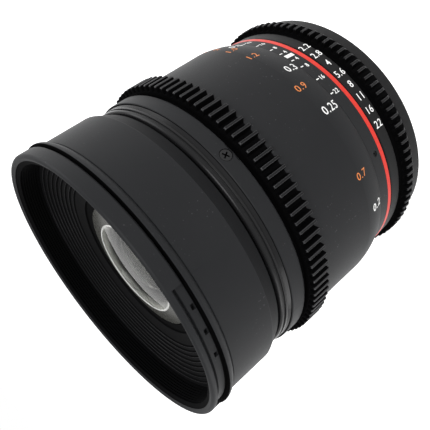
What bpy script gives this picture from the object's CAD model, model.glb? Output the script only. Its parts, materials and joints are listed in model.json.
import json
import math
import bmesh
import bpy
import numpy as np
from mathutils import Matrix, Vector


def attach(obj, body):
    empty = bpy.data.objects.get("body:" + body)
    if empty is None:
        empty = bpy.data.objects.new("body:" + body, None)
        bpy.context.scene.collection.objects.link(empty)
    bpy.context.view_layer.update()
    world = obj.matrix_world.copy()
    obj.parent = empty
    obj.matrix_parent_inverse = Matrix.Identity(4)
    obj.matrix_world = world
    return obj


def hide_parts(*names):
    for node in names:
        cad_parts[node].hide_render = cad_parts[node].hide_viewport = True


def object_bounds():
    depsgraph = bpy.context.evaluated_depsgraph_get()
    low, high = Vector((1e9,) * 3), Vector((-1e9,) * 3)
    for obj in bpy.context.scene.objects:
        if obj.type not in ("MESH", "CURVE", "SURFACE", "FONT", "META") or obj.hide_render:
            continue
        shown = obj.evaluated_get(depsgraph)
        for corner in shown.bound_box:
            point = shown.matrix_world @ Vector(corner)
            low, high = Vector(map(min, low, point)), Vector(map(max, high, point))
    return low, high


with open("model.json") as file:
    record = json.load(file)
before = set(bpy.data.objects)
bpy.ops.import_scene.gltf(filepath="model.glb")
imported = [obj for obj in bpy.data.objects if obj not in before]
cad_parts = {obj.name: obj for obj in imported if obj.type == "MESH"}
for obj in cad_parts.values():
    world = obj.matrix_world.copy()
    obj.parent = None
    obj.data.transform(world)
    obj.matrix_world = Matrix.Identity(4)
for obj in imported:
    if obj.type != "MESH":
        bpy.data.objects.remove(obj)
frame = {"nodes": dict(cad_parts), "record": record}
cadLow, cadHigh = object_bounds()
cadNodes = frame["nodes"]
scene = bpy.context.scene
scene.view_settings.view_transform = "Standard"

mm = 0.001
indexAngle = 90.0  # model angle of the index mark, degrees
print("frame loaded:", len(cadNodes), "nodes")

# camera at the photograph's view, rolled so that the front points down to the left
photoCamera = {
    "place": (0.08926, 0.13019, 0.12699),
    "right": (0.69502, -0.05218, -0.71712),
    "down": (0.51457, -0.66050, 0.54680),
    "lens": 50.233,
    "sensor": 36.0,
}


def placeCamera(spec):
    right = Vector(spec["right"]).normalized()
    up = -Vector(spec["down"])
    up = (up - up.dot(right) * right).normalized()
    back = right.cross(up)
    data = bpy.data.cameras.new("photoCamera")
    data.lens = spec["lens"]
    data.sensor_width = spec["sensor"]
    data.clip_start = 0.005
    camera = bpy.data.objects.new("photoCamera", data)
    scene.collection.objects.link(camera)
    turn = Matrix((right, up, back)).transposed().to_4x4()
    camera.matrix_world = Matrix.Translation(spec["place"]) @ turn
    scene.camera = camera


placeCamera(photoCamera)
print("camera placed")


# small helpers for node trees
def addNode(tree, kind, place, **settings):
    node = tree.nodes.new(kind)
    node.location = place
    for key, value in settings.items():
        setattr(node, key, value)
    return node


def feed(tree, target, value):
    if isinstance(value, bpy.types.NodeSocket):
        tree.links.new(value, target)
    else:
        target.default_value = value


# sets a node's inputs by name: a socket is linked, a plain value is written
def plug(tree, node, values):
    for name, value in values.items():
        feed(tree, node.inputs[name], value)


def mathNode(tree, place, operation, first, second=0.0, third=0.0):
    node = addNode(tree, "ShaderNodeMath", place, operation=operation)
    for socket, value in zip(node.inputs, (first, second, third)):
        feed(tree, socket, value)
    return node.outputs[0]


def noiseNode(tree, place, vector, scale, detail=2.0, roughness=0.5):
    node = addNode(tree, "ShaderNodeTexNoise", place)
    plug(tree, node, {"Vector": vector, "Scale": scale, "Detail": detail, "Roughness": roughness})
    return node.outputs["Fac"]


# a value carried from one range to another
def rangeNode(tree, place, value, fromRange=(0.0, 1.0), toRange=(0.0, 1.0), curve="LINEAR"):
    node = addNode(tree, "ShaderNodeMapRange", place, interpolation_type=curve)
    plug(tree, node, {"Value": value, "From Min": fromRange[0], "From Max": fromRange[1],
                      "To Min": toRange[0], "To Max": toRange[1]})
    return node.outputs["Result"]


# two colours, each a socket or red, green and blue, mixed by an amount
def blendColours(tree, place, amount, first, second):
    node = addNode(tree, "ShaderNodeMix", place, data_type="RGBA")
    feed(tree, node.inputs["Factor"], amount)
    for label, colour in (("A", first), ("B", second)):
        feed(tree, node.inputs[label], (*colour, 1) if isinstance(colour, tuple) else colour)
    return node.outputs["Result"]


def newGroup(name, takes, gives):
    group = bpy.data.node_groups.new(name, "ShaderNodeTree")
    for label, kind, start in takes:
        socket = group.interface.new_socket(name=label, in_out="INPUT", socket_type=kind)
        if start is not None:
            socket.default_value = start
    for label, kind in gives:
        group.interface.new_socket(name=label, in_out="OUTPUT", socket_type=kind)
    source = addNode(group, "NodeGroupInput", (-900, 0))
    sink = addNode(group, "NodeGroupOutput", (700, 0))
    return group, source, sink


# anodised grain: two sizes of noise added together, and a slow cloud for the colour
def makeGrainGroup():
    group, source, sink = newGroup(
        "anodisedGrain",
        [("Vector", "NodeSocketVector", None), ("Scale", "NodeSocketFloat", 4000.0)],
        [("Grain", "NodeSocketFloat"), ("Cloud", "NodeSocketFloat")],
    )
    spot, scale = source.outputs["Vector"], source.outputs["Scale"]
    coarse = noiseNode(group, (-600, 200), spot, scale, 2.0, 0.6)
    fineScale = mathNode(group, (-600, -50), "MULTIPLY", scale, 2.7)
    fine = noiseNode(group, (-400, -50), spot, fineScale, 1.0)
    both = mathNode(group, (0, 100), "ADD", coarse, fine)
    half = mathNode(group, (200, 100), "MULTIPLY", both, 0.5)
    cloudScale = mathNode(group, (-600, -300), "MULTIPLY", scale, 0.016)
    cloud = noiseNode(group, (-400, -300), spot, cloudScale, 3.0)
    plug(group, sink, {"Grain": half, "Cloud": cloud})
    return group


# turning marks: a sine of radius plus height, broken up by noise
def makeLatheGroup():
    group, source, sink = newGroup(
        "turningMarks",
        [("Vector", "NodeSocketVector", None), ("Pitch", "NodeSocketFloat", 0.0002)],
        [("Rings", "NodeSocketFloat")],
    )
    spot = source.outputs["Vector"]
    parts = addNode(group, "ShaderNodeSeparateXYZ", (-700, 0))
    group.links.new(spot, parts.inputs[0])
    x, y, z = parts.outputs
    xx = mathNode(group, (-520, 120), "MULTIPLY", x, x)
    xy = mathNode(group, (-520, -40), "MULTIPLY_ADD", y, y, xx)
    radius = mathNode(group, (-360, 0), "SQRT", xy)
    along = mathNode(group, (-200, 0), "ADD", radius, z)
    noise = noiseNode(group, (-360, -250), spot, 900.0)
    steps = mathNode(group, (-40, 0), "DIVIDE", along, source.outputs["Pitch"])
    phase = mathNode(group, (120, 0), "MULTIPLY_ADD", steps, 6.2832, noise)
    wave = mathNode(group, (280, 0), "SINE", phase)
    rings = mathNode(group, (440, 0), "MULTIPLY_ADD", wave, 0.5, 0.5)
    plug(group, sink, {"Rings": rings})
    return group


# dust: small round specks in scattered cells, only where a slow noise is high
def makeDustGroup():
    group, source, sink = newGroup(
        "settledDust",
        [("Vector", "NodeSocketVector", None), ("Scale", "NodeSocketFloat", 650.0),
         ("Size", "NodeSocketFloat", 0.1)],
        [("Dust", "NodeSocketFloat")],
    )
    spot = source.outputs["Vector"]
    cells = addNode(group, "ShaderNodeTexVoronoi", (-600, 150))
    plug(group, cells, {"Vector": spot, "Scale": source.outputs["Scale"]})
    chance = addNode(group, "ShaderNodeSeparateColor", (-400, 300))
    group.links.new(cells.outputs["Color"], chance.inputs[0])
    picked = mathNode(group, (-200, 300), "GREATER_THAN", chance.outputs[0], 0.72)
    size = mathNode(group, (-400, 50), "MULTIPLY", chance.outputs[1], source.outputs["Size"])
    near = mathNode(group, (-200, 100), "LESS_THAN", cells.outputs["Distance"], size)
    patch = noiseNode(group, (-600, -200), spot, 55.0)
    lot = rangeNode(group, (-200, -200), patch, (0.42, 0.62))
    both = mathNode(group, (0, 150), "MULTIPLY", picked, near)
    dust = mathNode(group, (200, 100), "MULTIPLY", both, lot)
    plug(group, sink, {"Dust": dust})
    return group


grainGroup = makeGrainGroup()
latheGroup = makeLatheGroup()
dustGroup = makeDustGroup()


def placeGroup(tree, group, place, vector, **values):
    node = addNode(tree, "ShaderNodeGroup", place, node_tree=group)
    tree.links.new(vector, node.inputs["Vector"])
    for key, value in values.items():
        node.inputs[key].default_value = value
    return node


def startMaterial(name):
    material = bpy.data.materials.new(name)
    material.use_nodes = True
    tree = material.node_tree
    shader = tree.nodes["Principled BSDF"]
    spot = addNode(tree, "ShaderNodeTexCoord", (-1300, 0))
    return material, tree, shader, spot.outputs["Object"]


def addBump(tree, shader, height, distance, strength):
    bump = addNode(tree, "ShaderNodeBump", (-250, -350))
    plug(tree, bump, {"Distance": distance, "Strength": strength, "Height": height})
    tree.links.new(bump.outputs["Normal"], shader.inputs["Normal"])


# specks of dust: cells per metre and size within a cell
coatDust = {"Scale": 1500.0, "Size": 0.3}
glassDust = {"Scale": 500.0, "Size": 0.06}
dustColour = (0.32, 0.32, 0.33)
# relief of printed paint: depth in metres and strength
paintRelief = (0.00002, 0.3)


# coated metal: grain in colour, gloss and bump, with dust where asked for
def makeCoating(name, spec):
    spec = {**coatingBasis, **spec}
    material, tree, shader, spot = startMaterial(name)
    grain = placeGroup(tree, grainGroup, (-1050, 200), spot, Scale=spec["grain"])
    colour = blendColours(tree, (-700, 250), grain.outputs["Cloud"], spec["dark"], spec["light"])
    if "dust" in spec:
        dust = placeGroup(tree, dustGroup, (-1050, -300), spot, **coatDust)
        share = mathNode(tree, (-850, -300), "MULTIPLY", dust.outputs["Dust"], spec["dust"])
        colour = blendColours(tree, (-350, 250), share, colour, dustColour)
    gloss = rangeNode(tree, (-500, 0), grain.outputs["Grain"], (0.25, 0.75), spec["rough"])
    plug(tree, shader, {"Base Color": colour, "Roughness": gloss, "Specular IOR Level": spec["specular"]})
    addBump(tree, shader, grain.outputs["Grain"], spec["depth"], spec["bump"])
    return material


# turned metal: ring marks in gloss and bump over a slightly uneven colour
def makeTurned(name, spec):
    material, tree, shader, spot = startMaterial(name)
    rings = placeGroup(tree, latheGroup, (-1050, 0), spot, Pitch=spec["pitch"])
    grain = placeGroup(tree, grainGroup, (-1050, 250), spot, Scale=2500.0)
    colour = blendColours(tree, (-600, 250), grain.outputs["Cloud"], spec["dark"], spec["light"])
    mixed = mathNode(tree, (-700, 0), "MULTIPLY", rings.outputs["Rings"], grain.outputs["Grain"])
    gloss = rangeNode(tree, (-500, 0), mixed, (0.0, 1.0), spec["rough"])
    plug(tree, shader, {"Base Color": colour, "Roughness": gloss, "Metallic": spec["metal"],
                        "Specular IOR Level": spec.get("specular", 0.5)})
    addBump(tree, shader, rings.outputs["Rings"], spec["depth"], spec["bump"])
    return material


# printed paint: thin, slightly uneven colour
def makePaint(name, spec):
    material, tree, shader, spot = startMaterial(name)
    grain = placeGroup(tree, grainGroup, (-1050, 200), spot, Scale=5000.0)
    colour = blendColours(tree, (-600, 250), grain.outputs["Grain"], spec["dark"], spec["light"])
    plug(tree, shader, {"Base Color": colour, "Roughness": spec["rough"]})
    addBump(tree, shader, grain.outputs["Grain"], *paintRelief)
    return material


# coated glass: clear body that hardly bends light, a mirror coat on its faces and a little dust
def makeGlass(name, spec):
    material, tree, shader, spot = startMaterial(name)
    dust = placeGroup(tree, dustGroup, (-1050, -100), spot, **glassDust)
    haze = placeGroup(tree, grainGroup, (-1050, 200), spot, Scale=3000.0)
    colour = blendColours(tree, (-600, 250), haze.outputs["Cloud"], spec["dark"], spec["light"])
    gloss = mathNode(tree, (-600, -50), "MULTIPLY", dust.outputs["Dust"], 0.25)
    plug(tree, shader, {"Base Color": colour, "Roughness": gloss, "Transmission Weight": 1.0,
                        "IOR": spec["ior"], "Coat Weight": 1.0, "Coat IOR": spec["coatIor"],
                        "Coat Roughness": 0.01})
    return material


# stepped glass behind the front: colour runs from dark at one height to light at another
def makeStep(name, spec):
    material, tree, shader, spot = startMaterial(name)
    parts = addNode(tree, "ShaderNodeSeparateXYZ", (-1050, 0))
    tree.links.new(spot, parts.inputs[0])
    share = rangeNode(tree, (-800, 0), parts.outputs["Z"], (spec["low"], spec["high"]), curve="SMOOTHERSTEP")
    colour = blendColours(tree, (-400, 250), share, spec["dark"], spec["light"])
    plug(tree, shader, {"Base Color": colour, "Roughness": spec["rough"],
                        "Specular IOR Level": spec["specular"], "Alpha": spec["alpha"]})
    return material


# depth of the grain in metres and strength of its bump, unless a coating says otherwise
coatingBasis = {"depth": 0.00003, "bump": 0.2}
coatings = {
    "bodyBlack": {"dark": (0.0106, 0.0110, 0.0120), "light": (0.0144, 0.0148, 0.0158), "grain": 4200.0,
                  "rough": (0.42, 0.56), "specular": 0.07, "dust": 0.1},
    "shoulderBlack": {"dark": (0.0066, 0.0068, 0.0074), "light": (0.0090, 0.0092, 0.0100),
                      "grain": 4200.0, "rough": (0.46, 0.6), "specular": 0.04},
    "wornEdge": {"dark": (0.016, 0.016, 0.017), "light": (0.034, 0.034, 0.036), "grain": 2600.0,
                 "rough": (0.32, 0.46), "specular": 0.15, "depth": 0.00002},
    "veiledGlass": {"dark": (0.046, 0.046, 0.041), "light": (0.050, 0.050, 0.045), "grain": 1200.0,
                    "rough": (0.22, 0.34), "specular": 0.25, "depth": 0.00001, "bump": 0.05},
    "brightBead": {"dark": (0.58, 0.58, 0.56), "light": (0.62, 0.62, 0.60), "grain": 1200.0,
                   "rough": (0.10, 0.18), "specular": 0.6, "depth": 0.00001, "bump": 0.05},
    "gearBlack": {"dark": (0.0064, 0.0065, 0.0069), "light": (0.0090, 0.0091, 0.0096), "grain": 4600.0,
                  "rough": (0.38, 0.52), "specular": 0.06},
    "rearBlack": {"dark": (0.0050, 0.0050, 0.0053), "light": (0.0072, 0.0072, 0.0076), "grain": 4600.0,
                  "rough": (0.40, 0.54), "specular": 0.09},
    "baffleBlack": {"dark": (0.0024, 0.0024, 0.0026), "light": (0.0038, 0.0038, 0.0041), "grain": 3600.0,
                    "rough": (0.5, 0.66), "specular": 0.03},
    "cellBlack": {"dark": (0.0012, 0.0012, 0.0013), "light": (0.0020, 0.0020, 0.0022), "grain": 3600.0,
                  "rough": (0.55, 0.7), "specular": 0.02},
    "recessBlack": {"dark": (0.0010, 0.0010, 0.0011), "light": (0.0018, 0.0018, 0.0020), "grain": 3600.0,
                    "rough": (0.6, 0.75), "specular": 0.012},
    "screwBlack": {"dark": (0.0095, 0.0095, 0.0098), "light": (0.0140, 0.0140, 0.0145), "grain": 6000.0,
                   "rough": (0.3, 0.42), "specular": 0.14, "depth": 0.00002, "bump": 0.15},
    "bladeBlack": {"dark": (0.010, 0.010, 0.011), "light": (0.018, 0.018, 0.019), "grain": 5000.0,
                   "rough": (0.42, 0.55), "specular": 0.4, "depth": 0.00001, "bump": 0.15},
    "redAnodised": {"dark": (0.50, 0.022, 0.013), "light": (0.58, 0.030, 0.018), "grain": 5200.0,
                    "rough": (0.34, 0.44), "specular": 0.2, "depth": 0.00002, "bump": 0.1},
}
turnings = {
    "trimSatin": {"dark": (0.008, 0.008, 0.0085), "light": (0.012, 0.012, 0.0125), "pitch": 0.00021,
                  "rough": (0.22, 0.32), "metal": 0.0, "specular": 0.09, "depth": 0.00002, "bump": 0.2},
    "mountChrome": {"dark": (0.60, 0.60, 0.61), "light": (0.72, 0.72, 0.73), "pitch": 0.00016,
                    "rough": (0.16, 0.30), "metal": 1.0, "depth": 0.00001, "bump": 0.25},
    "screwSteel": {"dark": (0.16, 0.16, 0.17), "light": (0.26, 0.26, 0.27), "pitch": 0.00012,
                   "rough": (0.28, 0.42), "metal": 1.0, "depth": 0.00001, "bump": 0.2},
    "innerAluminium": {"dark": (0.48, 0.49, 0.51), "light": (0.58, 0.59, 0.61), "pitch": 0.00022,
                       "rough": (0.26, 0.42), "metal": 1.0, "depth": 0.00002, "bump": 0.3},
    "turnedBrass": {"dark": (0.58, 0.42, 0.17), "light": (0.70, 0.53, 0.26), "pitch": 0.0002,
                    "rough": (0.24, 0.40), "metal": 1.0, "depth": 0.00002, "bump": 0.3},
}
paints = {
    "whitePaint": {"dark": (0.72, 0.72, 0.71), "light": (0.86, 0.86, 0.85), "rough": 0.55},
    "orangePaint": {"dark": (0.50, 0.135, 0.020), "light": (0.62, 0.19, 0.035), "rough": 0.55},
}
glasses = {
    "frontGlass": {"dark": (0.95, 0.96, 0.93), "light": (0.98, 0.99, 0.96), "ior": 1.06, "coatIor": 1.3},
    "innerGlass": {"dark": (0.93, 0.94, 0.88), "light": (0.96, 0.97, 0.91), "ior": 1.08, "coatIor": 1.42},
    "hollowGlass": {"dark": (0.93, 0.94, 0.90), "light": (0.96, 0.97, 0.93), "ior": 1.06, "coatIor": 1.02},
}
steps = {
    "throatGlass": {"low": 0.0770, "high": 0.0804, "dark": (0.012, 0.012, 0.011),
                    "light": (0.34, 0.34, 0.32), "rough": 0.25, "specular": 0.2, "alpha": 1.0},
    "hazedGlass": {"low": 0.0767, "high": 0.0777, "dark": (0.018, 0.018, 0.015),
                   "light": (0.13, 0.134, 0.108), "rough": 0.12, "specular": 0.3, "alpha": 0.12},
}
makers = ((makeCoating, coatings), (makeTurned, turnings), (makePaint, paints), (makeGlass, glasses),
          (makeStep, steps))
finishes = {name: make(name, spec) for make, table in makers for name, spec in table.items()}
print("finishes made:", len(finishes))

# the record's slot of each CAD node decides its finish
slotFinish = {
    "body_black": "bodyBlack", "gear_black": "gearBlack", "trim_satin": "trimSatin",
    "red_ring": "redAnodised", "mount_chrome": "mountChrome", "screw_steel": "screwSteel",
    "screw_black": "screwBlack", "inner_aluminium": "innerAluminium", "brass_parts": "turnedBrass",
    "baffle_black": "baffleBlack", "cell_black": "cellBlack", "lens_glass": "innerGlass",
    "blade_black": "bladeBlack",
}
nodeSlot = {row["node"]: row["material_slot"] for row in frame["record"]["subparts"]}
for nodeName, nodeObject in cadNodes.items():
    nodeObject.data.materials.clear()
    nodeObject.data.materials.append(finishes[slotFinish[nodeSlot[nodeName]]])


# faces nearer to the axis than a limit, such as a neck or a screw's cross, are black
blackInside = {"focus_collar": 39.45, "collar_screws": 39.5}


def blackenBelow(nodeName, limit):
    mesh = cadNodes[nodeName].data
    mesh.materials.append(finishes["recessBlack"])
    middle = np.zeros(len(mesh.polygons) * 3)
    mesh.polygons.foreach_get("center", middle)
    radius = np.hypot(middle[0::3], middle[1::3])
    mesh.polygons.foreach_set("material_index", (radius < limit * mm).astype(np.int32))


for collarName, blackLimit in blackInside.items():
    blackenBelow(collarName, blackLimit)
print("CAD nodes finished")


# an outline's corners cut back by a length and rounded by a parabola through three points
def roundOutline(points, cut, steps=4):
    corner = np.asarray(points, float)
    before = np.roll(corner, 1, 0) - corner
    after = np.roll(corner, -1, 0) - corner
    lengthBefore = np.linalg.norm(before, axis=1, keepdims=True)
    lengthAfter = np.linalg.norm(after, axis=1, keepdims=True)
    room = 0.42 * np.minimum(lengthBefore, lengthAfter)
    back = np.minimum(np.broadcast_to(np.asarray(cut, float), len(corner))[:, None], room)
    first = corner + before / lengthBefore * back
    last = corner + after / lengthAfter * back
    u = np.linspace(0, 1, steps)[None, :, None]
    curve = (1 - u) ** 2 * first[:, None] + 2 * u * (1 - u) * corner[:, None] + u ** 2 * last[:, None]
    return curve.reshape(-1, 2)


# circle of a rounded shoulder from (r0, z0) up to (r1, z1), which it meets 3 degrees off the barrel
def shoulderCircle(r0, r1, z0, z1):
    lean = math.radians(3)
    rise, height = r1 - r0, z1 - z0
    big = (height ** 2 + rise ** 2) / (2 * (rise * math.cos(lean) - height * math.sin(lean)))
    return big, r1 - big * math.cos(lean), z1 + big * math.sin(lean)


def shoulderArc(r0, r1, z0, z1, steps):
    big, midR, midZ = shoulderCircle(r0, r1, z0, z1)
    a = np.linspace(math.atan2(z0 - midZ, r0 - midR), math.atan2(z1 - midZ, r1 - midR), steps)
    return np.array((midR, midZ)) + big * np.stack([np.cos(a), np.sin(a)], -1)


def finishPiece(name, mesh, body, finish, stands=(), sharp=35.0, weighted=True):
    for each in (finish if isinstance(finish, tuple) else (finish,)):
        mesh.materials.append(finishes[each])
    mesh.shade_smooth()
    mesh.set_sharp_from_angle(angle=math.radians(sharp))
    piece = bpy.data.objects.new(name, mesh)
    scene.collection.objects.link(piece)
    if weighted:
        even = piece.modifiers.new("evenNormals", "WEIGHTED_NORMAL")
        even.keep_sharp = True
    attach(piece, body)
    if stands:
        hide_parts(*stands)
    return piece


def meshFromArrays(name, points, quads):
    mesh = bpy.data.meshes.new(name)
    mesh.vertices.add(len(points))
    mesh.vertices.foreach_set("co", points.astype(np.float32).ravel())
    mesh.loops.add(quads.size)
    mesh.loops.foreach_set("vertex_index", quads.astype(np.int32).ravel())
    mesh.polygons.add(len(quads))
    mesh.polygons.foreach_set("loop_start", np.arange(len(quads), dtype=np.int32) * quads.shape[1])
    mesh.update(calc_edges=True)
    mesh.validate()
    return mesh


# quads of a grid that closes round the axis, and along the outline too where it is looped
def gridQuads(rows, columns, looped):
    row = np.arange(rows)[:, None]
    column = np.arange(columns if looped else columns - 1)[None, :]
    nextRow, nextColumn = (row + 1) % rows, (column + 1) % columns
    return np.stack([row * columns + column, nextRow * columns + column,
                     nextRow * columns + nextColumn, row * columns + nextColumn], -1).reshape(-1, 4)


def tintFaces(mesh, tints, rows, columns):
    index = np.broadcast_to(tints, (rows, columns)).astype(np.int32)
    mesh.polygons.foreach_set("material_index", index.ravel())


# turned piece: outline point u at radius r and height z, carried round the axis to angle v,
# with a swell of the radius that depends on r, z and v; tints pick the finish of each strip
def latheMesh(name, outline, angles, swell=None, tints=0):
    radius = outline[None, :, 0] + 0 * angles[:, None]
    height = outline[None, :, 1] + 0 * angles[:, None]
    angle = angles[:, None] + 0 * radius
    if swell is not None:
        radius = radius + swell(radius, height, angle)
    points = np.stack([radius * np.cos(angle), radius * np.sin(angle), height], -1).reshape(-1, 3) * mm
    rows, columns = len(angles), len(outline)
    mesh = meshFromArrays(name, points, gridQuads(rows, columns, True))
    tintFaces(mesh, tints, rows, columns)
    return mesh


def weldMesh(mesh, turnOut=False):
    work = bmesh.new()
    work.from_mesh(mesh)
    bmesh.ops.remove_doubles(work, verts=work.verts, dist=1e-7)
    if turnOut:
        bmesh.ops.recalc_face_normals(work, faces=work.faces)
    work.to_mesh(mesh)
    work.free()


# glass: open outline from the axis back to the axis, closed at both poles by merging doubles
def domeMesh(name, outline, rows, tints):
    angles = evenAngles(rows)[:, None]
    radius, height = outline[None, :, 0], outline[None, :, 1]
    points = np.stack([radius * np.cos(angles), radius * np.sin(angles), height + 0 * angles], -1)
    columns = len(outline)
    mesh = meshFromArrays(name, points.reshape(-1, 3) * mm, gridQuads(rows, columns, False))
    tintFaces(mesh, tints, rows, columns - 1)
    weldMesh(mesh)
    return mesh


def evenAngles(count):
    return np.linspace(0, 2 * np.pi, count, endpoint=False)


# front barrel: cone, band, bead, groove, rim with hood slots, thread and baffle seat
frontBarrel = {
    "boreR": 36.6, "footR": 35.0, "chamferR": 38.7, "bandR": 40.5, "beadR": 41.6, "grooveR": 40.0,
    "rimR": 41.2, "threadR": 38.1, "threadDepth": 0.4, "pitch": 0.75, "turns": 7, "seatR": 37.6,
    "z0": 65.5, "z1": 69.5, "z2": 83.1, "z3": 85.3, "z4": 85.7, "slopeZ": 86.6, "rimZ": 90.5,
    "threadZ": 89.4, "seatZ": 83.65, "shoulderZ": 82.45, "lineHalf": 0.18, "lineDeep": 0.26, "edge": 0.9,
    "leadR": 39.35, "slots": 2, "slotR": 40.2, "slotFrom": 46.0, "slotSpan": 66.0, "slotTopZ": 89.0,
    "slotLine": (88.15, 0.35, 0.45), "notchAt": (8.4, 18.3, 28.5),
    "notchWide": 2.0, "notchZ": (85.9, 86.85), "notchR": 39.1, "slopeAt": (86.15, 86.35, 86.5),
}


def smoothRise(x):
    x = np.clip(x, 0, 1)
    return x * x * (3 - 2 * x)


def buildFrontBarrel(spec):
    half = spec["lineHalf"]
    bead = shoulderArc(spec["bandR"] + 0.05, spec["beadR"], spec["z2"] + half, spec["z3"] - 0.05, 9)
    notchLow, notchHigh = spec["notchZ"]
    lead, lag, ease = 0.06, 0.04, 0.1  # an edge of a slot or notch starts and ends this near its place
    # rounded edge behind the rim: a quarter of an ellipse from the groove to the rim
    slopeZ = np.array((spec["z4"] + 0.02, notchLow - lead, notchLow + lag, *spec["slopeAt"], spec["slopeZ"]))
    tall = spec["slopeZ"] - spec["z4"]
    lean = np.sqrt(np.maximum(1 - ((spec["slopeZ"] - slopeZ) / tall) ** 2, 0))
    slope = np.stack([spec["grooveR"] + (spec["rimR"] - spec["grooveR"]) * lean, slopeZ], -1)
    lineZ, lineWide, lineDeep = spec["slotLine"]
    sideZ = np.concatenate([(notchHigh - lag, notchHigh + lead), lineZ + lineWide * np.linspace(-1, 1, 7),
                            spec["slotTopZ"] + np.array((-lead, lag, 0.12))])
    rimSide = np.stack([0 * sideZ + spec["rimR"], sideZ], -1)
    grooveZ = spec["threadZ"] - 0.3 - spec["pitch"] * np.arange(spec["turns"])
    crest, depth, edge = spec["threadR"], spec["threadDepth"], spec["edge"]
    groove = np.array([(0, 0), (depth, -0.42 * spec["pitch"]), (0, -0.84 * spec["pitch"])])
    thread = (np.stack([0 * grooveZ + crest, grooveZ], -1)[:, None] + groove).reshape(-1, 2)
    # rounded outer edge of the rim: a quarter circle
    turn = np.radians(np.linspace(0, 90, 8))
    rimEdge = np.stack([spec["rimR"] - edge * (1 - np.cos(turn)),
                        spec["rimZ"] - edge * (1 - np.sin(turn))], -1)
    fall = (spec["rimZ"] - spec["threadZ"]) / (spec["rimR"] - edge - crest)
    leadZ = spec["rimZ"] - fall * (spec["rimR"] - edge - spec["leadR"])
    # points, cut and finish: 0 coating, 1 black recess, 2 darker cone
    parts = [
        ([(spec["footR"], spec["z0"])], 0.1, 1), ([(spec["chamferR"], spec["z0"])], 0.08, 2),
        ([(spec["bandR"], spec["z1"])], 0.14, 0), ([(spec["bandR"], spec["z2"] - half)], 0.03, 0),
        ([(spec["bandR"] - spec["lineDeep"], spec["z2"])], 0.05, 0),
        (bead[:1], 0.04, 0), (bead[1:-1], 0.02, 0), (bead[-1:], 0.05, 0),
        ([(spec["beadR"] - 0.12, spec["z3"] + 0.03), (spec["grooveR"], spec["z3"]),
          (spec["grooveR"], spec["z4"])], 0.04, 1),
        (slope[:1], 0.02, 1), (slope[1:], 0.02, 0), (rimSide, 0.02, 0), (rimEdge, 0.03, 0),
        ([(spec["leadR"], leadZ), (spec["leadR"] - 0.1, leadZ - 0.2)], 0.04, 1),
        ([(crest, spec["threadZ"])], 0.08, 1), (thread, 0.05, 1),
        ([(crest, spec["seatZ"]), (spec["seatR"], spec["seatZ"])], 0.05, 1),
        ([(spec["seatR"], spec["shoulderZ"]), (spec["boreR"], spec["shoulderZ"])], 0.05, 1),
        ([(spec["boreR"], spec["z1"]), (spec["footR"], spec["z1"])], 0.05, 1),
    ]
    corners = np.concatenate([np.asarray(p, float) for p, back, tint in parts])
    cuts = np.concatenate([np.full(len(p), back) for p, back, tint in parts])
    tints = np.concatenate([np.full(3 * len(p), tint) for p, back, tint in parts])
    outline = roundOutline(corners, cuts, 3)

    turns = 360 / spec["slots"] * np.arange(spec["slots"])
    starts = indexAngle - spec["slotFrom"] - spec["slotSpan"] + turns
    notchMid = (indexAngle - spec["slotFrom"] - np.array(spec["notchAt"])[None, :] + turns[:, None]).ravel()
    stops = np.concatenate([starts, starts + spec["slotSpan"]])
    near = np.linspace(-0.4, 0.4, 17)
    notchNear = np.concatenate([-spec["notchWide"] / 2 + np.array((-0.16, -0.06, 0.06)),
                                spec["notchWide"] / 2 + np.array((-0.06, 0.06, 0.16))])
    angles = np.concatenate([np.arange(0, 360, 1.2), (stops[:, None] + near).ravel(),
                             (notchMid[:, None] + notchNear).ravel()]) % 360
    angles = np.unique(np.round(angles, 3))

    # radius falls to the slot floor inside each slot, and to the notch floor inside each notch
    def swell(r, z, a):
        turn = np.degrees(a)[..., None]
        inSlot = (turn - starts) % 360
        soft = 0.15
        inside = smoothRise(inSlot / soft) * smoothRise((spec["slotSpan"] - inSlot) / soft)
        inside = np.where(inSlot < spec["slotSpan"] + 2, inside, 0).max(-1)
        tall = smoothRise((spec["slotTopZ"] + lag - z) / ease) * (z > spec["z4"] - 0.01)
        line = lineDeep * np.clip(1 - np.abs(z - lineZ) / lineWide, 0, 1) * (r > spec["slotR"])
        drop = (np.maximum(r - spec["slotR"], 0) + line) * inside * tall
        off = np.abs((turn - notchMid + 180) % 360 - 180)
        notch = smoothRise((spec["notchWide"] / 2 + 0.06 - off) / 0.12).max(-1)
        deep = smoothRise((z - notchLow + lead) / ease) * smoothRise((notchHigh + lead - z) / ease)
        return -drop - notch * deep * (r > spec["slotR"]) * (spec["slotR"] - spec["notchR"])

    mesh = latheMesh("front_shell", outline, np.radians(angles), swell, tints)
    return finishPiece("front_shell", mesh, "barrel",
                       ("bodyBlack", "recessBlack", "shoulderBlack"), ("front_barrel",))


buildFrontBarrel(frontBarrel)
print("front barrel turned")

# ring outlines: (radius, height) corners against the clock, with the cut at each corner
focusRing = {"boreR": 36.6, "tailR": 38.2, "gripR": 39.7, "seatR": 38.2, "z0": 22.9, "z1": 29.9,
             "gearZ": 49.0, "topZ": 55.0}


def buildFocusRing(spec):
    shoulder = shoulderArc(spec["tailR"], spec["gripR"], spec["z0"], spec["z1"], 18)
    corners = np.concatenate([
        [(spec["boreR"], spec["z0"])], shoulder,
        [(spec["gripR"], spec["gearZ"]), (spec["seatR"], spec["gearZ"]),
         (spec["seatR"], spec["topZ"]), (spec["boreR"], spec["topZ"])]])
    cuts = np.full(len(corners), 0.02)
    cuts[[0, 1]] = 0.08, 0.08
    cuts[-4:] = 0.12, 0.05, 0.05, 0.05
    mesh = latheMesh("focus_sleeve", roundOutline(corners, cuts, 3), evenAngles(360))
    return finishPiece("focus_sleeve", mesh, "focus", "bodyBlack", ("focus_ring",))


buildFocusRing(focusRing)

trimRing = {"boreR": 36.6, "outR": 39.3, "z0": 61.2, "z1": 64.6}


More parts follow.
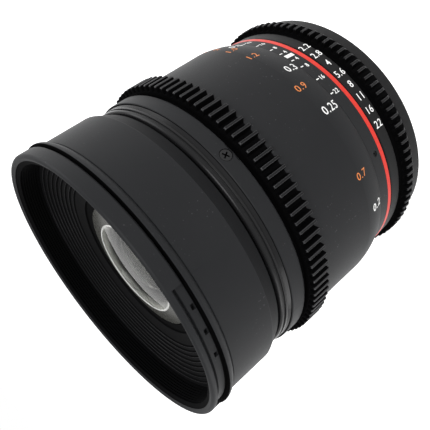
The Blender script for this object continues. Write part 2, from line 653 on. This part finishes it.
def buildTrimRing(spec):
    r, z, top = spec["outR"], spec["z0"], spec["z1"]
    corners = [(spec["boreR"], z), (r, z), (r - 0.5, z + 1.2), (r - 0.1, z + 1.25), (r - 0.15, z + 1.85),
               (r - 0.6, z + 1.9), (r - 0.6, z + 2.4), (r - 0.2, z + 2.45), (r - 0.35, top - 0.3),
               (r - 0.65, top), (spec["boreR"], top)]
    cuts = np.array([0.05, 0.1, 0.08, 0.13, 0.13, 0.08, 0.08, 0.13, 0.2, 0.15, 0.05])
    mesh = latheMesh("trim_band", roundOutline(corners, cuts, 4), evenAngles(360))
    return finishPiece("trim_band", mesh, "focus", "trimSatin", ("trim_ring",))


buildTrimRing(trimRing)

# red band with a lower black step behind it
redRing = {"seatR": 36.3, "outR": 37.33, "stepDeep": 0.3, "z0": 16.6, "redZ": 17.02, "z1": 18.3}


def buildRedRing(spec):
    out, red, top = spec["outR"], spec["redZ"], spec["z1"]
    step = out - spec["stepDeep"]
    corners = [(spec["seatR"], spec["z0"]), (step, spec["z0"]), (step, red - 0.06), (out, red), (out, top),
               (spec["seatR"], top)]
    steps = 4
    outline = roundOutline(corners, [0.05, 0.05, 0.03, 0.08, 0.04, 0.05], steps)
    tints = np.arange(len(outline)) < 3 * steps - 1  # black as far as the foot of the red
    mesh = latheMesh("red_band", outline, evenAngles(360), None, tints)
    return finishPiece("red_band", mesh, "barrel", ("redAnodised", "recessBlack"), ("red_ring",))


buildRedRing(redRing)

# toothed pieces: the part of the outline outside the root circle follows the tooth shape round the axis
focusGear = {"teeth": 102, "rootR": 39.8, "tipR": 41.6, "tipWide": 0.64, "rootWide": 1.36, "boreR": 38.2,
             "z0": 49.0, "z1": 55.0, "bevel": 0.22}
apertureRing = {"teeth": 95, "rootR": 37.0, "tipR": 38.8, "tipWide": 0.64, "rootWide": 1.36, "boreR": 34.0,
                "skirtR": 35.1, "skirtZ": 2.3, "flangeR": 36.9, "grooveR": 36.4, "scaleR": 37.1, "z0": 3.8,
                "z1": 6.1, "slope": 2.2, "z2": 10.9, "scaleZ": 12.6, "z3": 16.4, "bevel": 0.22}


def toothAngles(spec):
    pitch = 360 / spec["teeth"]
    tip = math.degrees(spec["tipWide"] / 2 / spec["tipR"])
    root = math.degrees(spec["rootWide"] / 2 / spec["rootR"])
    flank = root - tip
    ease = 0.14  # degrees over which a tooth's edges are rounded, and the same share of its flank
    steps = np.array([-pitch / 2, -root - ease, -root, -tip - ease * flank, -tip, -tip + ease, tip - ease,
                      tip, tip + ease * flank, root, root + ease])
    shares = np.array([0.03, 0.03, 0.07, 0.88, 0.97, 1.0, 1.0, 0.97, 0.88, 0.07, 0.03])
    centres = np.arange(spec["teeth"]) * pitch
    angles = (centres[:, None] + steps[None, :]).ravel()
    heights = np.tile(shares, spec["teeth"])
    return np.radians(angles), heights


# finish of each strip round the axis: 0 top of a tooth, 2 its worn edges, 1 flanks and gaps
def toothTints(heights):
    low = np.minimum(heights, np.roll(heights, -1))
    return np.where(low > 0.98, 0, np.where(low > 0.8, 2, 1))


def toothSwell(spec, heights, low, high):
    def swell(r, z, a):
        inTeeth = (z > low) & (z < high) & (r > spec["rootR"])
        return np.where(inTeeth, (r - spec["rootR"]) * (heights[:, None] - 1), 0)
    return swell


def buildFocusGear(spec):
    z0, z1, bevel = spec["z0"], spec["z1"], spec["bevel"]
    bore, root, tip = spec["boreR"], spec["rootR"] - 0.05, spec["tipR"]
    corners = [(bore, z0), (root, z0), (tip - bevel, z0 + 0.02), (tip, z0 + bevel),
               (tip, z1 - bevel), (tip - bevel, z1 - 0.02), (root, z1), (bore, z1)]
    outline = roundOutline(corners, [0.05, 0.02, 0.1, 0.1, 0.1, 0.1, 0.02, 0.05], 3)
    angles, heights = toothAngles(spec)
    column = np.arange(len(outline))  # three to a corner
    onTop = (column >= 8) & (column <= 16)  # tooth tops, from the rear bevel to the front one
    onFront = onTop & (column >= 13)  # the front bevel alone
    tints = np.where(onTop, toothTints(heights)[:, None], 1)
    tints = np.where(onFront & (tints == 0), 2, tints)
    mesh = latheMesh("focus_teeth", outline, angles, toothSwell(spec, heights, z0 - 1, z1 + 1), tints)
    return finishPiece("focus_teeth", mesh, "focus",
                       ("gearBlack", "recessBlack", "wornEdge"), ("focus_gear",), 28)


def buildApertureRing(spec):
    flange, scale, bevel = spec["flangeR"], spec["scaleR"], spec["bevel"]
    z0, z1, z2, z3 = spec["z0"], spec["z1"], spec["z2"], spec["z3"]
    skirt, low, tip = spec["skirtR"], spec["skirtZ"], spec["tipR"]
    corners = [(spec["boreR"], z0), (skirt, z0), (skirt, low), (flange - 0.5, low), (flange, low + 0.5),
               (flange, z1 - 0.02), (spec["rootR"], z1 + 0.02), (tip, z1 + spec["slope"]), (tip, z2 - bevel),
               (tip - bevel, z2), (spec["grooveR"], z2 + 0.03), (spec["grooveR"], spec["scaleZ"]),
               (scale - 0.3, spec["scaleZ"] + 0.02), (scale, spec["scaleZ"] + 0.32), (scale, z3 - 0.25),
               (scale - 0.2, z3), (spec["boreR"], z3)]
    cuts = [0.05, 0.05, 0.08, 0.25, 0.25, 0.02, 0.02, 0.1, 0.1, 0.1, 0.02, 0.06, 0.14, 0.14, 0.12, 0.12, 0.05]
    outline = roundOutline(corners, cuts, 3)
    angles, heights = toothAngles(spec)
    column = np.arange(len(outline))  # three to a corner
    onTeeth = (column >= 20) & (column <= 29)  # from the foot of the slope to the front bevel
    inGroove = (column >= 29) & (column <= 35)  # with the front ends of the teeth
    tints = np.where(inGroove, 1, np.where(onTeeth, toothTints(heights)[:, None], 0))
    swell = toothSwell(spec, heights, z1, z2 + 0.005)
    mesh = latheMesh("aperture_sleeve", outline, angles, swell, tints)
    return finishPiece("aperture_sleeve", mesh, "aperture",
                       ("rearBlack", "recessBlack", "wornEdge"), ("aperture_ring",), 28)


buildFocusGear(focusGear)
buildApertureRing(apertureRing)
print("rings turned")

# ridged baffle: a saw of small steps that falls from the thread to the glass
baffleSteps = {"seatR": 37.6, "boreR": 36.6, "cellR": 24.0, "seatZ": 83.65, "shoulderZ": 82.45,
               "cellTop": 79.05, "ridges": 8, "fall": 3.6}


def buildBaffle(spec):
    count = spec["ridges"]
    outR, inR = spec["seatR"] - 0.6, spec["cellR"] + 2.2
    wide, fall = (outR - inR) / count, spec["fall"] / count
    i = np.arange(count)[:, None, None]
    saw = np.array([(0, 0), (0.62, 0.08), (0.62, 0.34)])[None]
    ridges = (np.array((outR, spec["seatZ"])) - (i + saw) * np.array((wide, fall))).reshape(-1, 2)
    corners = np.concatenate([
        [(spec["boreR"] - 0.6, spec["shoulderZ"]), (spec["seatR"], spec["shoulderZ"]),
         (spec["seatR"], spec["seatZ"])],
        ridges,
        [(inR, spec["seatZ"] - spec["fall"]), (spec["cellR"] - 1.4, spec["cellTop"] + 0.5),
         (spec["cellR"] - 1.4, spec["cellTop"]), (spec["cellR"] + 0.6, spec["cellTop"])]])
    # each ridge: 0 tread, 2 worn crest, 1 black drop and slope behind it
    first, each, steps = 3, 3, 3  # corners before the ridges, corners in a ridge, points in a corner
    tints = np.zeros(steps * len(corners), int)
    ridgeTints = (0, 0, 0, 2, 2, 1, 1, 1, 1)
    tints[steps * first:steps * (first + each * count)] = np.tile(ridgeTints, count)
    cuts = np.full(len(corners), 0.09)
    cuts[first + 1:first + 1 + each * count:each] = 0.16  # the crests
    mesh = latheMesh("front_ridges", roundOutline(corners, cuts, steps), evenAngles(300), None, tints)
    return finishPiece("front_ridges", mesh, "barrel",
                       ("baffleBlack", "recessBlack", "wornEdge"), ("front_baffle",))


buildBaffle(baffleSteps)
print("baffle turned")

# glass: arcs of the two faces and the edge between them, front curve first
frontLens = {"name": "front_dome", "node": "front_element", "finish": "frontGlass", "r": 20.8, "frontR": 87.0,
             "top": 81.6, "rearR": 17.0, "back": 79.7455, "bite": 14.5, "low": 71.6196, "bead": 14.0,
             "beadTall": 0.16, "beadWide": 0.22, "beadHalf": 0.3, "faceR": 19.3, "edgeZ": 76.6}
secondLens = {"name": "second_dome", "node": "second_element", "finish": "innerGlass", "r": 16.0,
              "frontR": 30.0, "top": 69.3196, "rearR": 12.5, "back": 67.3196, "bite": 10.0, "low": 62.3196}
lastLens = {"name": "last_dome", "node": "rear_element", "finish": "frontGlass", "r": 13.0, "frontR": 35.0,
            "top": 12.6, "rearR": 60.0, "low": 6.2}


def sag(big, r):
    return big - np.sqrt(big ** 2 - r ** 2)


# open outline of a lens, and the finish of each strip: 0 face, 1 black edge, 2 veil, 3 bead, 4 hollow
def lensOutline(spec):
    front = np.linspace(0, spec.get("faceR", spec["r"]), 40)
    if "bead" in spec:
        front = np.unique(np.concatenate([front, spec["bead"] + np.linspace(-0.5, 0.5, 15)]))
    face = np.stack([front, spec["top"] - sag(spec["frontR"], front)], -1)
    tints = np.zeros(len(front) - 1, int)
    if "bead" in spec:  # a fine raised ring parts the veiled rim from the clear middle
        face[:, 1] += spec["beadTall"] * np.exp(-((front - spec["bead"]) / spec["beadWide"]) ** 2)
        middle = (front[1:] + front[:-1]) / 2
        veiled, beaded = spec["bead"] + spec["beadHalf"], spec["bead"] - spec["beadHalf"]
        tints = np.where(middle > veiled, 2, np.where(middle > beaded, 3, 0))
    if "faceR" in spec:  # steep black edge down into the retainer
        face = np.concatenate([face, [(spec["faceR"] + 0.1, spec["edgeZ"]), (spec["r"], spec["edgeZ"])]])
        tints = np.concatenate([tints, (1, 1)])
    if "bite" in spec:
        hollow = np.linspace(spec["bite"], 0, 36)
        rear = np.stack([hollow, spec["back"] - sag(spec["rearR"], hollow)], -1)
        rim = np.array([(spec["r"], spec["low"])])
        tints = np.concatenate([tints, (1, 1), np.full(len(hollow) - 1, 4)])
        return np.concatenate([face, rim, rear])[::-1], tints[::-1]
    bulge = np.linspace(spec["r"], 0, 36)
    rear = np.stack([bulge, spec["low"] + sag(spec["rearR"], bulge)], -1)
    tints = np.concatenate([tints, (1,), np.zeros(len(bulge) - 1, int)])
    return np.concatenate([face, rear])[::-1], tints[::-1]


for lens in (frontLens, secondLens, lastLens):
    lensLine, lensTints = lensOutline(lens)
    lensMesh = domeMesh(lens["name"], lensLine, 180, lensTints)
    lensFinishes = (lens["finish"], "recessBlack", "veiledGlass", "brightBead", "hollowGlass")
    finishPiece(lens["name"], lensMesh, "barrel", lensFinishes, (lens["node"],), 30, False)

# step in the front glass: a hazed floor and a wall that curves up to the bright ring
glassStep = {"name": "glass_step", "floorR": 9.8, "floorZ": 76.8, "rise": 0.8,
             "lipR": 13.9, "lipZ": 80.3, "thick": 0.2}


def buildGlassStep(spec):
    floor = np.linspace(0, spec["floorR"], 20)
    top = np.stack([floor, spec["floorZ"] + spec["rise"] * (1 - (floor / spec["floorR"]) ** 2)], -1)
    u = np.linspace(0, 1, 14)[1:]  # wall: radius grows fast at first, height fast at last
    wall = np.stack([spec["floorR"] + (spec["lipR"] - spec["floorR"]) * u ** 0.6,
                     spec["floorZ"] + (spec["lipZ"] - spec["floorZ"]) * u ** 1.4], -1)
    inner = np.concatenate([top, wall])
    outer = (inner + np.array((spec["thick"], -spec["thick"])) * (inner[:, :1] > 0))[::-1]
    outer[-1, 1] -= spec["thick"]
    outline = np.concatenate([inner, outer])[::-1]
    middle = (outline[1:, 0] + outline[:-1, 0]) / 2
    mesh = domeMesh(spec["name"], outline, 160, (middle > spec["floorR"] + 0.02).astype(int))
    finish = ("hazedGlass", "throatGlass")
    return finishPiece(spec["name"], mesh, "barrel", finish, (), 30, False)


buildGlassStep(glassStep)
print("glass ground")

# printed numbers: text is made a mesh first, then each point goes to a height and an angle on its ring
# z is where a word's middle is, tailZ where its end is; angles run from the index, clockwise from the front
metreScale = {"size": 2.4, "wide": 0.95, "bold": 0.004, "tailZ": 23.65, "marks": [
    ("0.3", 8.5), ("0.25", 30.3), ("0.2", 74.5), ("0.5", -21.3), ("0.7", -31.0), ("1", -37.3), ("2", -43.9)]}
feetScale = {"size": 2.1, "wide": 0.95, "bold": 0.0, "z": 29.05, "marks": [
    ("1.2", -6.3), ("0.9", 17.9), ("0.7", 57.5), ("1.5", -17.8), ("2", -27.6), ("3", -36.0), ("5", -42.0)]}
stopScale = {"size": 2.15, "wide": 0.82, "bold": 0.004, "z": 14.4, "marks": [
    ("2.2", 1.5), ("2.8", 8.0), ("4", 14.3), ("5.6", 20.9), ("8", 27.3), ("11", 33.7), ("16", 40.3),
    ("22", 47.1)]}
depthScale = {"size": 1.4, "wide": 0.9, "bold": 0.012, "z": 20.0, "marks": [
    ("4", 4.6), ("8", 10.1), ("16", 18.2), ("22", 26.2),
    ("4", -1.8), ("8", -7.2), ("16", -14.5), ("22", -23.0)]}
depthTicks = {"long": 1.0, "wide": 0.32, "z": 21.8, "at": (4.9, 9.8, 18.2, 26.2, -1.4, -6.6, -14.5, -23.0)}
indexBar = {"long": 3.0, "wide": 1.3, "z": 20.65, "at": 1.55}
printing = {"lift": 0.035, "sink": 0.05}


def textPoints(words, spec):
    data = bpy.data.curves.new("stamp", "FONT")
    data.body = words
    data.align_x = "CENTER"
    data.align_y = "CENTER"
    data.extrude = 0.5
    data.space_character = 1.1
    data.offset = spec["bold"]
    data.resolution_u = 3
    holder = bpy.data.objects.new("stamp", data)
    scene.collection.objects.link(holder)
    graph = bpy.context.evaluated_depsgraph_get()
    mesh = bpy.data.meshes.new_from_object(holder.evaluated_get(graph))
    points = np.zeros(len(mesh.vertices) * 3)
    mesh.vertices.foreach_get("co", points)
    points = points.reshape(-1, 3)
    faces = [tuple(face.vertices) for face in mesh.polygons]
    bpy.data.objects.remove(holder)
    bpy.data.meshes.remove(mesh)
    bpy.data.curves.remove(data)
    low, high = points.min(0), points.max(0)
    flat = (points - (low + high) / 2) / (high[1] - low[1]) * np.array((spec["wide"], 1, 0)) * spec["size"]
    return flat + np.array((0, 0, 1)) * np.sign(points[:, 2:3]), faces


# x runs from front to rear along the axis, y turns towards the index, z is the paint's inner or outer face
def wrapPoints(points, rel, z, radiusAt):
    height = z - points[:, 0]
    radius = radiusAt(height)
    lift = np.where(points[:, 2] > 0, printing["lift"], -printing["sink"])
    angle = np.radians(indexAngle - rel) + points[:, 1] / radius
    out = radius + lift
    return np.stack([out * np.cos(angle), out * np.sin(angle), height], -1) * mm


def barPoints(long, wide):
    u, v = np.meshgrid(np.linspace(-0.5, 0.5, 3), np.linspace(-0.5, 0.5, 3), indexing="ij")
    flat = np.stack([u.ravel() * long, v.ravel() * wide], -1)
    points = np.concatenate([np.c_[flat, np.full(9, 1.0)], np.c_[flat, np.full(9, -1.0)]])
    first = np.array((0, 1, 3, 4))[:, None]  # lowest corner of each of the four cells
    cell = first + np.array((0, 3, 4, 1))
    loop = np.array([0, 3, 6, 7, 8, 5, 2, 1])
    ahead = np.roll(loop, -1)
    side = np.stack([loop, loop + 9, ahead + 9, ahead], -1)
    faces = np.concatenate([cell, cell[:, ::-1] + 9, side])
    return points, [tuple(int(k) for k in face) for face in faces]


def focusRadius(z):
    spec = focusRing
    big, midR, midZ = shoulderCircle(spec["tailR"], spec["gripR"], spec["z0"], spec["z1"])
    curve = midR + np.sqrt(np.maximum(big ** 2 - (z - midZ) ** 2, 0))
    return np.where(z < spec["z1"], curve, spec["gripR"])


# a cone between the red ring and the focus ring
indexRing = {"rearR": 37.3, "frontR": 37.9, "z0": 18.3, "long": 4.3}


def indexRadius(z):
    spec = indexRing
    share = np.clip((z - spec["z0"]) / spec["long"], 0, 1)
    return spec["rearR"] + (spec["frontR"] - spec["rearR"]) * share


def stopRadius(z):
    return 0 * z + apertureRing["scaleR"]


def printPiece(name, stamps, body, finish):
    points, faces, count = [], [], 0
    for stamp, stampFaces in stamps:
        points.append(stamp)
        faces += [tuple(k + count for k in face) for face in stampFaces]
        count += len(stamp)
    mesh = bpy.data.meshes.new(name)
    mesh.from_pydata(np.concatenate(points).tolist(), [], faces)
    mesh.update()
    weldMesh(mesh, True)
    return finishPiece(name, mesh, body, finish, (), 30, False)


def numberStamps(spec, radiusAt):
    stamps = []
    for words, rel in spec["marks"]:
        points, faces = textPoints(words, spec)
        z = spec["z"] if "z" in spec else spec["tailZ"] + points[:, 0].max()
        stamps.append((wrapPoints(points, rel, z, radiusAt), faces))
    return stamps


def barStamp(spec, rel, radiusAt):
    points, faces = barPoints(spec["long"], spec["wide"])
    return wrapPoints(points, rel, spec["z"], radiusAt), faces


printPiece("metre_numbers", numberStamps(metreScale, focusRadius), "focus", "whitePaint")
printPiece("feet_numbers", numberStamps(feetScale, focusRadius), "focus", "orangePaint")
printPiece("stop_numbers", numberStamps(stopScale, stopRadius), "aperture", "whitePaint")
depthStamps = numberStamps(depthScale, indexRadius)
depthStamps += [barStamp(depthTicks, rel, indexRadius) for rel in depthTicks["at"]]
depthStamps.append(barStamp(indexBar, indexBar["at"], indexRadius))
printPiece("index_marks", depthStamps, "barrel", "whitePaint")
print("numbers printed")

# pale floor under the mount, soft lamps and a white surround
studio = {
    "floorZ": float(cadLow.z) - 0.0004,
    "floorHalf": 6.0,
    "floorColour": (0.86, 0.86, 0.86, 1),
    "floorGlow": 0.74,
    "worldLight": 0.34,
    "lamps": [
        {"name": "keyPanel", "place": (0.20, 0.48, 0.60), "aim": (0, 0, 0.05), "size": 0.40, "power": 6.0},
        {"name": "sidePanel", "place": (0.62, -0.36, 0.18), "aim": (0, 0, 0.05), "size": 0.45, "power": 3.4},
        {"name": "backPanel", "place": (-0.60, 0.36, 0.30), "aim": (0, 0, 0.05), "size": 0.45, "power": 3.0},
    ],
}


def cameraGlossMask(tree, place):
    path = addNode(tree, "ShaderNodeLightPath", place)
    seen = mathNode(tree, (place[0] + 200, place[1]), "MAXIMUM", path.outputs["Is Camera Ray"],
                    path.outputs["Is Glossy Ray"])
    return mathNode(tree, (place[0] + 380, place[1]), "MAXIMUM", seen, path.outputs["Is Transmission Ray"])


def buildFloor(spec):
    half, z = spec["floorHalf"], spec["floorZ"]
    points = np.array([(-half, -half, z), (half, -half, z), (half, half, z), (-half, half, z)])
    mesh = meshFromArrays("floor", points, np.array([[0, 1, 2, 3]]))
    floor = bpy.data.objects.new("floor", mesh)
    scene.collection.objects.link(floor)
    material = bpy.data.materials.new("paleFloor")
    material.use_nodes = True
    tree = material.node_tree
    tree.nodes.clear()
    diffuse = addNode(tree, "ShaderNodeBsdfDiffuse", (-200, 100))
    diffuse.inputs["Color"].default_value = spec["floorColour"]
    glow = addNode(tree, "ShaderNodeEmission", (-200, -100))
    seen = cameraGlossMask(tree, (-900, -100))
    strength = mathNode(tree, (-380, -100), "MULTIPLY", seen, spec["floorGlow"])
    tree.links.new(strength, glow.inputs["Strength"])
    both = addNode(tree, "ShaderNodeAddShader", (50, 0))
    tree.links.new(diffuse.outputs[0], both.inputs[0])
    tree.links.new(glow.outputs[0], both.inputs[1])
    out = addNode(tree, "ShaderNodeOutputMaterial", (250, 0))
    tree.links.new(both.outputs[0], out.inputs["Surface"])
    mesh.materials.append(material)


def buildWorld(spec):
    world = bpy.data.worlds.new("studioWorld")
    world.use_nodes = True
    tree = world.node_tree
    background = tree.nodes["Background"]
    background.inputs["Color"].default_value = (1, 1, 1, 1)
    seen = cameraGlossMask(tree, (-900, 0))
    gap = mathNode(tree, (-360, 0), "MULTIPLY_ADD", seen, 1.0 - spec["worldLight"], spec["worldLight"])
    tree.links.new(gap, background.inputs["Strength"])
    scene.world = world


def buildLamps(spec):
    for lamp in spec["lamps"]:
        data = bpy.data.lights.new(lamp["name"], "AREA")
        data.shape = "SQUARE"
        data.size = lamp["size"]
        data.energy = lamp["power"]
        light = bpy.data.objects.new(lamp["name"], data)
        light.location = lamp["place"]
        aim = Vector(lamp["aim"]) - Vector(lamp["place"])
        light.rotation_euler = aim.to_track_quat("-Z", "Y").to_euler()
        scene.collection.objects.link(light)


buildFloor(studio)
buildWorld(studio)
buildLamps(studio)
print("studio lit")

print("sizes written")
